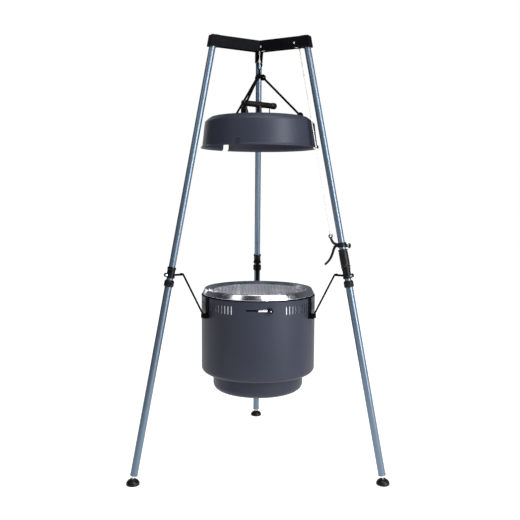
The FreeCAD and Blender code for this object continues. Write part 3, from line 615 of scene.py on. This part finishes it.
def feet():
    """Domed swivel pads with a grooved sole and a collar round the ball."""
    flutes = 30

    def skirt(angle, height):
        return -0.35 * MM * (0.5 + 0.5 * math.cos(flutes * angle)) if 1.4 * MM < height < 4.4 * MM else 0

    profile = rounded(millimetres([
        (0, 0.7), (5, 0.7), (5.6, 0), (9, 0), (9.6, 0.7), (12, 0.7), (12.6, 0), (19, 0, 0.6),
        (20, 1.2, 0.5), (20, 1.5),
        (20, 3), (20, 4.3), (20, 5.2, 1.5), (18.2, 9.6, 6), (14.2, 14, 6), (9.2, 16.2, 2), (8.6, 17.9, 0.5),
        (6.9, 18, 0.4), (5.3, 16.2), (6.2, 14.2), (6.6, 12), (6.2, 9.8), (4.6, 7.4), (2.4, 6), (0, 5.6)]))
    for name in LEGS:
        low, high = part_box(f"foot_pad_{name}")
        middle = (low + high) / 2
        piece(f"swivel_foot_{name}", lathe(profile, flutes * 4, swell=skirt), "foot_rubber", f"foot_{name}",
              [f"foot_pad_{name}"], shift(middle.x, middle.y, low.z))
        refine(f"foot_stud_{name}", "bright_steel")


# ---------------------------------------------------------------- drum

def walled(profile, columns, is_open, at):
    """A turned skin with openings. at(column, height) gives the angle that a column has at a height."""
    vertices, faces = [], []
    width = len(columns)
    for radius, height in profile:
        for column in columns:
            angle = at(column, height)
            vertices.append((radius * math.cos(angle), radius * math.sin(angle), height))
    for row in range(len(profile) - 1):
        level = (profile[row][1] + profile[row + 1][1]) / 2
        for index in range(width):
            after = (index + 1) % width
            turn = columns[after][0] - columns[index][0]
            middle = columns[index][0] + (turn % FULL_TURN) / 2
            if not is_open(middle, level):
                faces.append([row * width + index, row * width + after, (row + 1) * width + after,
                              (row + 1) * width + index])
    return vertices, faces


def slot_columns(slots, half_width, spacing, straight=()):
    """Column angles: both edges of every slot, straight cuts, and even steps that keep clear of them."""
    edges = [(centre + side * half_width, side, centre) for centre in slots for side in (-1, 1)]
    edges += [(angle, 0, angle) for angle in straight]
    count = int(FULL_TURN / spacing)
    for index in range(count):
        angle = FULL_TURN * index / count
        near = min(apart(angle, edge[0]) for edge in edges)
        inside = any(apart(angle, centre) < half_width for centre in slots)
        if near > spacing * 0.45 and not inside:
            edges.append((angle, 0, angle))
    return sorted(((angle % FULL_TURN, side, centre) for angle, side, centre in edges))


def drum_skin():
    """The drawn and enamelled drum: three groups of upright slots and the damper's slot."""
    low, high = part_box("drum_shell")
    radius, rim, floor = high.x, high.z, low.z
    vent_low, vent_high, vent_half = 496 * MM, 522 * MM, 2 * MM
    guide_low, guide_high = 509.5 * MM, 514.1 * MM
    guide_start, guide_end = math.radians(257.5), math.radians(283)
    vents = []
    for front in (270, 30, 150):
        for side in (-1, 1):
            for first in (27.3, 42.9):
                turns_out = (first + 3.7 * index for index in range(4))
                vents += [math.radians(front + side * turn) % FULL_TURN for turn in turns_out]
    half = vent_half / radius

    def slot_edge(column, height):
        angle, side, centre = column
        if not side:
            return angle
        inside = min(height - vent_low, vent_high - height)
        if not -0.1 * MM < inside < vent_half:
            return angle
        share = math.sqrt(max(0.04, 1 - (1 - max(inside, 0) / vent_half) ** 2))
        return centre + side * half * share

    def is_open(angle, height):
        if vent_low < height < vent_high:
            if any(apart(angle, vent) < half * 0.9 for vent in vents):
                return True
        return guide_low < height < guide_high and guide_start < angle < guide_end

    ledge, step, big, small = 292 * MM, 143 * MM, 20 * MM, 15 * MM
    rows = [rim, rim - 1 * MM, rim - 5 * MM, rim - 10 * MM, vent_high, vent_high - 0.4 * MM,
            vent_high - 1 * MM,
            vent_high - 2 * MM, guide_high, guide_low, 503 * MM, vent_low + 2 * MM, vent_low + 1 * MM,
            vent_low + 0.4 * MM, vent_low, 490 * MM, 470 * MM, 430 * MM, 390 * MM, 350 * MM]
    profile = [(radius, height) for height in rows]
    profile += rounded([(radius, 330 * MM), (radius, ledge, small), (step, ledge, 1.6 * MM),
                        (step, 276 * MM)],
                       closed=False, steps=7)
    profile += rounded([(step, 270 * MM), (step, floor, big), (60 * MM, floor), (20 * MM, floor)],
                       closed=False,
                       steps=8)
    columns = slot_columns(vents, half, math.radians(2.5), straight=(guide_start, guide_end))
    skin = walled(profile, columns, is_open, slot_edge)
    skin[1].append([len(skin[0]) - len(columns) + index for index in range(len(columns))])
    drum = piece("drum_skin", skin, "drum_enamel", "drum", ["drum_shell"], smooth=50)
    thicken(drum, DRUM_SHEET)


def thicken(shape, thickness):
    """Sheet metal: the skin gets its thickness inwards, and its cut edges are eased."""
    sheet = shape.modifiers.new("sheet", "SOLIDIFY")
    sheet.thickness = thickness
    sheet.offset = -1
    sheet.use_even_offset = True
    ease = shape.modifiers.new("ease", "BEVEL")
    ease.width = thickness * 0.22
    ease.segments = 2
    ease.limit_method = "ANGLE"
    ease.angle_limit = math.radians(55)
    ease.harden_normals = True


def drum_fittings():
    for name in LEGS:
        softened(f"rim_strap_{name}", f"rim_hook_{name}", "rod_black", "drum", 0.6 * MM)
        refine(f"hanging_rod_{name}", "rod_black")
    refine("hanger_pins", "rod_black")
    refine("air_ring", "bright_steel")
    out = around(280.4) @ shift(178.2 * MM, 0, DAMPER_HEIGHT) @ Matrix.Rotation(math.pi / 2, 4, "Y")
    cap = rounded(millimetres([(2.2, 4.6), (8.4, 4.6, 0.8), (8.4, 11.4, 1.6), (6.8, 13.6, 1.2),
                               (2.5, 13.6, 0.6), (2.2, 10)]))
    piece("damper_knob", lathe(cap, 56), "moulded_black", "air_damper", ["air_knob"], out)
    rivet = rounded(millimetres([(0, -0.3), (1.7, -0.3), (1.7, 13), (2.3, 13.5, 0.3), (1.8, 14.4, 0.6),
                                 (0, 14.6)]))
    piece("damper_rivet", lathe(rivet, 48), "chrome", "air_damper", (), out)
    inner, outer = high_radius() + 0.35 * MM, high_radius() + 2.6 * MM
    slide = arc((inner + outer) / 2, DAMPER_HEIGHT, math.radians(269.3), math.radians(278.6), 16)
    thick, tall = (outer - inner) / 2, 2.9 * MM
    section = rounded([(-thick, -tall, 0.9 * MM), (thick, -tall, 0.9 * MM), (thick, tall, 0.9 * MM),
                       (-thick, tall, 0.9 * MM)], steps=3)
    piece("damper_slide", sweep(slide, section, up=(0, 0, 1)), "chrome", "air_damper")
    # A thin black band behind the damper's slot: painted shade, so the slot shows as a dark line instead of
    # the bright ring behind it.
    strip = arc(178.32 * MM, DAMPER_HEIGHT, math.radians(257.2), math.radians(279), 24)
    thick, tall = 0.08 * MM, 3.2 * MM
    band = [(-thick, -tall), (thick, -tall), (thick, tall), (-thick, tall)]
    piece("damper_painted_shade", sweep(strip, band, up=(0, 0, 1)), "rod_black", "air_damper")
    stop = rounded(millimetres([(0, -1.2), (2.2, -1.2), (3.2, 0.4, 0.6), (3.2, 2.6, 1), (0, 3.4)]))
    at_end = around(268.6) @ shift(high_radius(), 0, DAMPER_HEIGHT) @ Matrix.Rotation(math.pi / 2, 4, "Y")
    piece("damper_stop", lathe(stop, 32), "moulded_black", "air_damper", (), at_end)


def high_radius():
    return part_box("drum_shell")[1].x


# ---------------------------------------------------------------- bowl and grates

def bowl():
    """The polished bowl that sits in the drum: a rolled collar over the rim, a sloped lip and a ledge."""
    low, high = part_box("inner_bowl")
    rim, collar = high.z / MM, high.x / MM
    wall, ledge, floor, sheet = 140, 545, low.z / MM, 1.2
    profile = rounded(millimetres([
        (0, floor), (wall - 15, floor, 9), (wall + sheet, floor + 15, 9), (wall + sheet, ledge - sheet, 0.6),
        (147.3, ledge - sheet, 2.5), (166.2, rim - 2.2, 2), (168.6, rim - 2.2, 3), (collar - 1.6, 542, 0.5),
        (collar - 1.9, 540.6, 0.5),
        (collar - 0.5, 540, 0.5), (collar, 541.4, 0.6), (169.4, rim - 0.4, 3.6), (165.6, rim, 3),
        (146.8, ledge, 2),
        (wall, ledge, 1), (wall, floor + 16, 9), (wall - 15, floor + sheet, 9), (0, floor + sheet)]))
    liner = piece("bowl_liner", lathe(profile, 160), "chrome", "inner_bowl", ["inner_bowl"], smooth=60)
    # The bowl's outer wall below the drum rim gets the darker metal: painted shade where the wall sits inside
    # the drum.
    liner.data.materials.append(PAINTED_SHADE_METAL)
    for face in liner.data.polygons:
        outward = face.normal.x * face.center.x + face.normal.y * face.center.y
        if face.center.z < 538 * MM and outward - face.normal.z * 0.1 > 0.02:
            face.material_index = 1
    slope = math.atan2(12.6, 19.6)
    for index, azimuth in enumerate((200, 340)):
        seat = around(azimuth) @ shift(157 * MM, 0, 551.6 * MM) @ Matrix.Rotation(-slope, 4, "Y")
        tongue = rounded(millimetres([(-8.5, 0.4), (7, 0.4, 1), (9.5, 2.6, 0.8), (9.3, 3.9, 0.5),
                                      (6.4, 1.8, 1), (-8.5, 1.8)]))
        loop = smooth_line(millimetres([(-7, -5, 2.4), (-1, -5, 3.4), (4, -4.4, 6.8), (5.4, 0, 8.2),
                                        (4, 4.4, 6.8), (-1, 5, 3.4), (-7, 5, 2.4)]))
        clip = merged(plate(tongue, 14 * MM), sweep(loop, disc(0.9 * MM, 10)),
                      moved(lathe(rounded(millimetres([(0, 1.6), (2.2, 1.6), (2, 2.8, 0.6), (0, 3.2)])),
                                  24), shift(-4.5 * MM, 0, 0)))
        nodes = ["bowl_clips"] if index == 0 else ()
        piece(f"bowl_clip_{index + 1}", clip, "bright_steel", "inner_bowl", nodes, seat, smooth=45)


def expanded_grate():
    """Expanded metal: zigzag strands that meet at their corners, welded to a rim ring over two bars."""
    low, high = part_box("cooking_grate")
    outer, top = high.x, high.z
    ring_width, pitch, long_way, strand = 4 * MM, 9.5 * MM, 21 * MM, 1.5 * MM
    inner = outer - ring_width
    ring = lathe(rounded([(inner, low.z), (outer, low.z, 0.8 * MM), (outer, top, 0.8 * MM),
                          (inner, top, 0.8 * MM)]), 128)
    shapes = [ring]
    section = [(-strand / 2, -0.9 * MM), (strand / 2, -0.9 * MM), (strand / 2, 0.9 * MM),
               (-strand / 2, 0.9 * MM)]
    count = int(inner / pitch) + 1
    for row in range(-count, count + 1):
        middle, sign = row * pitch, 1 if row % 2 else -1
        points = []
        steps = int(inner / (long_way / 2)) + 1
        for k in range(-steps, steps + 1):
            x = k * long_way / 2
            y = middle + sign * (1 if k % 2 else -1) * (pitch / 2 - strand * 0.35)
            if x * x + y * y < (inner + 1 * MM) ** 2:
                flat = Vector((3.4 * MM, 0, 0))
                points += [Vector((x, y, top - 1 * MM)) - flat / 2, Vector((x, y, top - 1 * MM)) + flat / 2]
        if len(points) > 3:
            shapes.append(sweep(points, section, up=(0, 0, 1)))
    for across in (-0.45 * outer, 0.45 * outer):
        half = math.sqrt(inner ** 2 - across ** 2) + 1 * MM
        ends = [Vector((across, -half, low.z + 1.1 * MM)), Vector((across, half, low.z + 1.1 * MM))]
        shapes.append(sweep(ends, disc(1.1 * MM, 10)))
    grill = piece("grill_mesh", merged(*shapes), GRATE_STEEL, "cooking_grate", ["cooking_grate"], smooth=40)
    # Faces that look down, and the ring's outer edge, get the darker metal: painted shade under the grate.
    grill.data.materials.append(PAINTED_SHADE_METAL)
    for face in grill.data.polygons:
        if face.normal.z < -0.3 or face.center.to_2d().length > outer - 0.5 * MM:
            face.material_index = 1
    refine("charcoal_grate", CAST_IRON)


# ---------------------------------------------------------------- lid

def lid_skin():
    """The drawn lid: a crowned top, a soft shoulder, a wall that opens slightly and a flared, rolled lip."""
    low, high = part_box("lid_shell")
    lip, bottom, top = high.x, low.z, LID_TOP
    notch_half, notch_top = 11 * MM / (lip - 6 * MM), bottom + 22 * MM
    notches = [math.radians(LID_TURN + 120 * index) for index in range(3)]

    def notch_edge(column, height):
        angle, side, centre = column
        inside = notch_top - height
        if not side or not -0.1 * MM < inside < 4 * MM:
            return angle
        return centre + side * notch_half * (1 - 0.32 * (1 - max(inside, 0) / (4 * MM)) ** 2)

    def is_open(angle, height):
        if height > notch_top:
            return False
        return any(apart(angle, notch) < notch_half * 0.9 for notch in notches)

    profile = rounded([
        (20 * MM, top), (60 * MM, top), (100 * MM, top - 0.1 * MM), (150 * MM, top, 10 * MM),
        (lip - 13.6 * MM, top - 14 * MM, 12 * MM), (lip - 9.6 * MM, 1040 * MM)], closed=False, steps=7)
    profile += [(lip - 8.2 * MM, 1026 * MM), (lip - 7 * MM, notch_top), (lip - 6.9 * MM, notch_top - 1 * MM),
                (lip - 6.7 * MM, notch_top - 2 * MM), (lip - 6.4 * MM, notch_top - 4 * MM),
                (lip - 5.8 * MM, 1006 * MM)]
    profile += rounded([(lip - 5.4 * MM, 1002.5 * MM), (lip - 4.6 * MM, 999 * MM, 3 * MM),
                        (lip - 0.6 * MM, 996.4 * MM, 1 * MM),
                        (lip, bottom, 0.6 * MM), (lip - 1.9 * MM, bottom + 0.2 * MM)], closed=False, steps=4)
    columns = slot_columns(notches, notch_half, math.radians(2.4))
    skin = walled(profile, columns, is_open, notch_edge)
    skin[1].append(list(range(len(columns))))
    lid = piece("lid_skin", skin, "drum_enamel", "lid", ["lid_shell"], smooth=50)
    thicken(lid, DRUM_SHEET)
    for index in range(3):
        place = around(LID_TURN + 120 * index)
        ear = rounded(millimetres([(123.5, 1087.6), (136.5, 1087.6), (136.5, 1104.4, 6), (123.5, 1104.4, 6)]))
        pin = moved(lathe(rounded(millimetres([(0, -6), (2.9, -6, 0.5), (2.9, -5.1), (2.1, -5.1),
                                               (2.1, 5.1), (2.9, 5.1), (2.9, 6, 0.5), (0, 6)])), 24),
                    shift(130 * MM, 0, 1099 * MM) @ Matrix.Rotation(math.pi / 2, 4, "X"))
        ears = [moved(plate(ear, 2 * MM), shift(0, side * 4.2 * MM, 0)) for side in (-1, 1)]
        piece(f"lid_ear_{index + 1}", merged(*ears, pin), "rod_black", "lid", (), place, smooth=40,
              bevel=0.35 * MM)
        rod = softened(f"lid_rod_{index + 1}", f"lid_hanger_{index + 1}", "rod_black", "lid", 0, smooth=60)
        shank_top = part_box(f"lid_rod_{index + 1}")[1].z - 10 * MM
        shank = rod.vertex_groups.new(name="shank")
        shank.add([vertex.index for vertex in rod.data.vertices if vertex.co.z < shank_top], 1, "REPLACE")
        coating = rod.modifiers.new("coating", "DISPLACE")
        coating.strength, coating.mid_level, coating.vertex_group = 0.5 * MM, 0, shank.name


def lid_fittings():
    softened("lid_vent", "vent_plate", "rod_black", "lid_vent", 0.4 * MM, segments=2)
    softened("lid_guard", "leg_bumper", "moulded_black", "lid", 0.6 * MM)
    top = LID_TOP
    grip_low, grip_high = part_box("handle_grip")
    axis = (grip_low.z + grip_high.z) / 2
    post = rounded([(0, top), (8 * MM, top), (8 * MM, top + 2.2 * MM), (13 * MM, top + 2.2 * MM, 0.4 * MM),
                    (13 * MM, top + 4.4 * MM, 0.8 * MM),
                    (8.6 * MM, top + 6.2 * MM, 2 * MM), (7.4 * MM, axis - 12 * MM, 8 * MM),
                    (8 * MM, axis - 4 * MM), (0, axis - 4 * MM)])
    piece("handle_stem", lathe(post, 56), "handle_black", "lid", ["handle_post"])
    half, radius = 65 * MM, 10 * MM

    def hold(angle, along):
        return -0.35 * MM * max(0, math.cos(10 * angle)) ** 2 if abs(along) < 44 * MM else 0

    bar = rounded([(0, -half), (radius - 2.4 * MM, -half, 2.2 * MM), (radius, -half + 4 * MM, 3 * MM),
                   (radius, -50 * MM, 2 * MM), (8.7 * MM, -46 * MM, 2 * MM),
                   (8.7 * MM, -43.5 * MM), (9 * MM, -20 * MM), (9.4 * MM, 0), (9 * MM, 20 * MM),
                   (8.7 * MM, 43.5 * MM), (8.7 * MM, 46 * MM, 2 * MM),
                   (radius, 50 * MM, 2 * MM), (radius, half - 4 * MM, 3 * MM),
                   (radius - 2.4 * MM, half, 2.2 * MM), (0, half)])
    across = around(HANDLE_TURN) @ shift(0, 0, axis) @ Matrix.Rotation(math.pi / 2, 4, "Y")
    piece("handle_bar", lathe(bar, 80, swell=hold), "handle_black", "lid", ["handle_grip"], across)
    stay = smooth_line(millimetres([(41, 3, 1088.4), (41, 1.2, 1094), (41, 0, 1104), (41, 0, 1114),
                                    (41, 0, 1122)]))
    foot = moved(lathe(rounded(millimetres([(0, 0), (3.4, 0), (3.4, 1.6, 0.5), (1.8, 2.6), (0, 2.6)])), 24),
                 shift(41 * MM, 3 * MM, top))
    turn = around(HANDLE_TURN)
    piece("handle_stay", merged(sweep(stay, disc(1.5 * MM, 12)), foot), "rod_black", "lid", (), turn)
    knuckle = rounded(millimetres([(0, 1088), (7.4, 1088), (8.4, 1092, 2), (8.6, 1100, 5), (7, 1108, 4),
                                   (5.2, 1113, 2), (4.4, 1122), (0, 1122)]))
    piece("handle_rest", lathe(knuckle, 48), "handle_black", "lid", (), turn @ shift(-52 * MM, 0, 0))


# ---------------------------------------------------------------- hoist fittings

def slider():
    """The leg clamp: a band, a horn that ends in the cord's eye, a long curved lever and a boss."""
    band = rounded(millimetres([(10.15, -6.5), (14, -6.5, 1), (14, -2), (13.2, -1.2), (13.2, 1.2), (14, 2),
                                (14, 6.5, 1), (10.15, 6.5)]))
    along = SLIDER_HEIGHT / math.cos(LEG_TILT)
    band = moved(lathe(band, 72), on_leg(LEGS["right"], along))
    upper = smooth_line([SLIDER_AT + Vector(p) * MM for p in
                         ((-11.5, 0, 1), (-18, 0, 2.4), (-25, 0, 6), (-30, 0, 13), (-33, 0, 20.5))])
    lower = smooth_line([SLIDER_AT + Vector(p) * MM for p in
                         ((-11.5, 0, -1.5), (-19, 0, -4), (-24, 0, -13), (-28, 0, -27), (-33.5, 0, -40),
                          (-41.5, 0, -51), (-50, 0, -59))])
    lever_taper = [1.5 - 0.45 * k / len(lower) for k in range(len(lower))]
    eye = sweep(ring_line(SLIDER_AT + Vector((-34, 0, 26)) * MM, 4.7 * MM, (0, 1, 0), 48),
                disc(2.1 * MM, 14), closed=True)
    outwards = shift(*(SLIDER_AT + Vector((0, 0, -2 * MM)))) @ Matrix.Rotation(math.pi / 2, 4, "Y")
    boss = moved(lathe(rounded(millimetres([(0, 11), (5.4, 11), (5, 17.2, 1), (0, 17.2)])), 40), outwards)
    horn_taper = [1.2 - 0.2 * k / len(upper) for k in range(len(upper))]
    horn = sweep(upper, disc(3.6 * MM, 16), size=horn_taper, up=(0, 1, 0))
    lever = sweep(lower, disc(3.0 * MM, 16, flat=1.15), size=lever_taper, up=(0, 1, 0))
    clamp = piece("slider_cleat", merged(band, horn, lever, eye, boss), "moulded_black", "slider",
                  ["slider_clamp"])
    moulded(clamp, 0.7 * MM)
    lobes = 7

    def lobed(angle, height):
        return 0.5 * MM * math.cos(lobes * angle) if 19 * MM < height < 25 * MM else 0

    knob = rounded(millimetres([(0, 18.6), (5.4, 18.6), (7.1, 19.4, 0.7), (7.3, 20.6), (7.3, 23.8, 1),
                                (6, 26, 1.4), (3, 26.3, 0.5), (2.6, 25.6), (0, 25.6)]))
    piece("knob_head", lathe(knob, lobes * 10, swell=lobed), "moulded_black", "clamp_knob", ["clamp_knob"],
          outwards)
    screw = rounded(millimetres([(0, 12), (2.4, 12), (2.4, 17.3), (4.6, 17.3, 0.3), (4.6, 18.9, 0.3),
                                 (0, 18.9)]))
    piece("knob_screw", lathe(screw, 36), "bright_steel", "clamp_knob", (), outwards)


def hoist_wires():
    refine("gathering_ring", "rod_black")
    refine("cord_hook", "rod_black")


# ---------------------------------------------------------------- studio

def floor():
    mesh = bpy.data.meshes.new("floor")
    half = 6.0
    mesh.from_pydata([(-half, -half, 0), (half, -half, 0), (half, half, 0), (-half, half, 0)], [],
                     [[0, 1, 2, 3]])
    ground = bpy.data.objects.new("floor", mesh)
    bpy.context.scene.collection.objects.link(ground)
    pale = node_material("floor_pale", (0.30, 0.30, 0.305), (0.32, 0.32, 0.32), 0.85, blotch=2, grain=40,
                         bump=0.01)
    glow = pale.node_tree.nodes["Principled BSDF"]
    glow.inputs["Emission Color"].default_value = (1, 1, 1, 1)
    glow.inputs["Emission Strength"].default_value = 1.0
    mesh.materials.append(pale)


def softbox(name, place, target, width, height, power, tint=(1, 1, 1)):
    light = bpy.data.lights.new(name, "AREA")
    light.shape = "RECTANGLE"
    light.size, light.size_y, light.energy, light.color = width, height, power, tint
    lamp = bpy.data.objects.new(name, light)
    lamp.location = place
    lamp.rotation_euler = (Vector(target) - Vector(place)).to_track_quat("-Z", "Y").to_euler()
    bpy.context.scene.collection.objects.link(lamp)


def studio():
    """A white surround for the eye, a dim one for the light that is darkest in front, and soft boxes."""
    world = bpy.data.worlds.new("studio")
    world.use_nodes = True
    bpy.context.scene.world = world
    nodes, links = world.node_tree.nodes, world.node_tree.links
    nodes.clear()
    output = nodes.new("ShaderNodeOutputWorld")
    seen, lit = nodes.new("ShaderNodeBackground"), nodes.new("ShaderNodeBackground")
    seen.inputs["Color"].default_value = (1, 1, 1, 1)
    lit.inputs["Color"].default_value = (0.86, 0.93, 1.0, 1)
    way, behind, fade = (nodes.new(f"ShaderNode{kind}") for kind in ("TexCoord", "VectorMath", "MapRange"))
    behind.operation = "DOT_PRODUCT"
    behind.inputs[1].default_value = (0, 0.7, -0.7)
    fade.inputs["From Min"].default_value, fade.inputs["From Max"].default_value = -0.5, 0.2
    fade.inputs["To Min"].default_value, fade.inputs["To Max"].default_value = 0.006, 0.13
    links.new(way.outputs["Generated"], behind.inputs[0])
    links.new(behind.outputs["Value"], fade.inputs["Value"])
    links.new(fade.outputs["Result"], lit.inputs["Strength"])
    path, mix = nodes.new("ShaderNodeLightPath"), nodes.new("ShaderNodeMixShader")
    links.new(path.outputs["Is Camera Ray"], mix.inputs["Fac"])
    links.new(lit.outputs["Background"], mix.inputs[1])
    links.new(seen.outputs["Background"], mix.inputs[2])
    links.new(mix.outputs["Shader"], output.inputs["Surface"])
    middle = (0, 0, 0.65)
    softbox("key", (2.1, -1.9, 1.5), middle, 1.2, 2.2, 104, (0.97, 0.985, 1))
    softbox("fill", (-2.6, -1.6, 1.2), middle, 0.5, 2.2, 1, (0.95, 0.97, 1))
    softbox("top", (0.3, -0.7, 3.4), (0, -0.2, 0), 2.4, 1.6, 48)
    softbox("upper_left", (-1.5, -1.2, 2.2), (0, 0, 0.6), 0.8, 0.9, 5)
    softbox("upper_right", (0.75, -2.1, 2.9), (0, 0, 0.6), 0.7, 1.2, 22)
    softbox("back", (-1.6, 2.6, 1.8), middle, 1.0, 2.0, 10)
    sun = bpy.data.lights.new("sky", "SUN")
    sun.energy, sun.angle = 0.9, math.radians(100)
    sky = bpy.data.objects.new("sky", sun)
    sky.rotation_euler = Vector((-0.8, 0.45, -1)).to_track_quat("-Z", "Y").to_euler()
    sky.visible_glossy = False
    bpy.context.scene.collection.objects.link(sky)
    bpy.context.scene.view_settings.view_transform = "Standard"


make_camera()
hoist_cord()
head()
legs()
lock_nuts()
collars()
grip()
feet()
drum_skin()
drum_fittings()
bowl()
expanded_grate()
lid_skin()
lid_fittings()
slider()
hoist_wires()
floor()
studio()
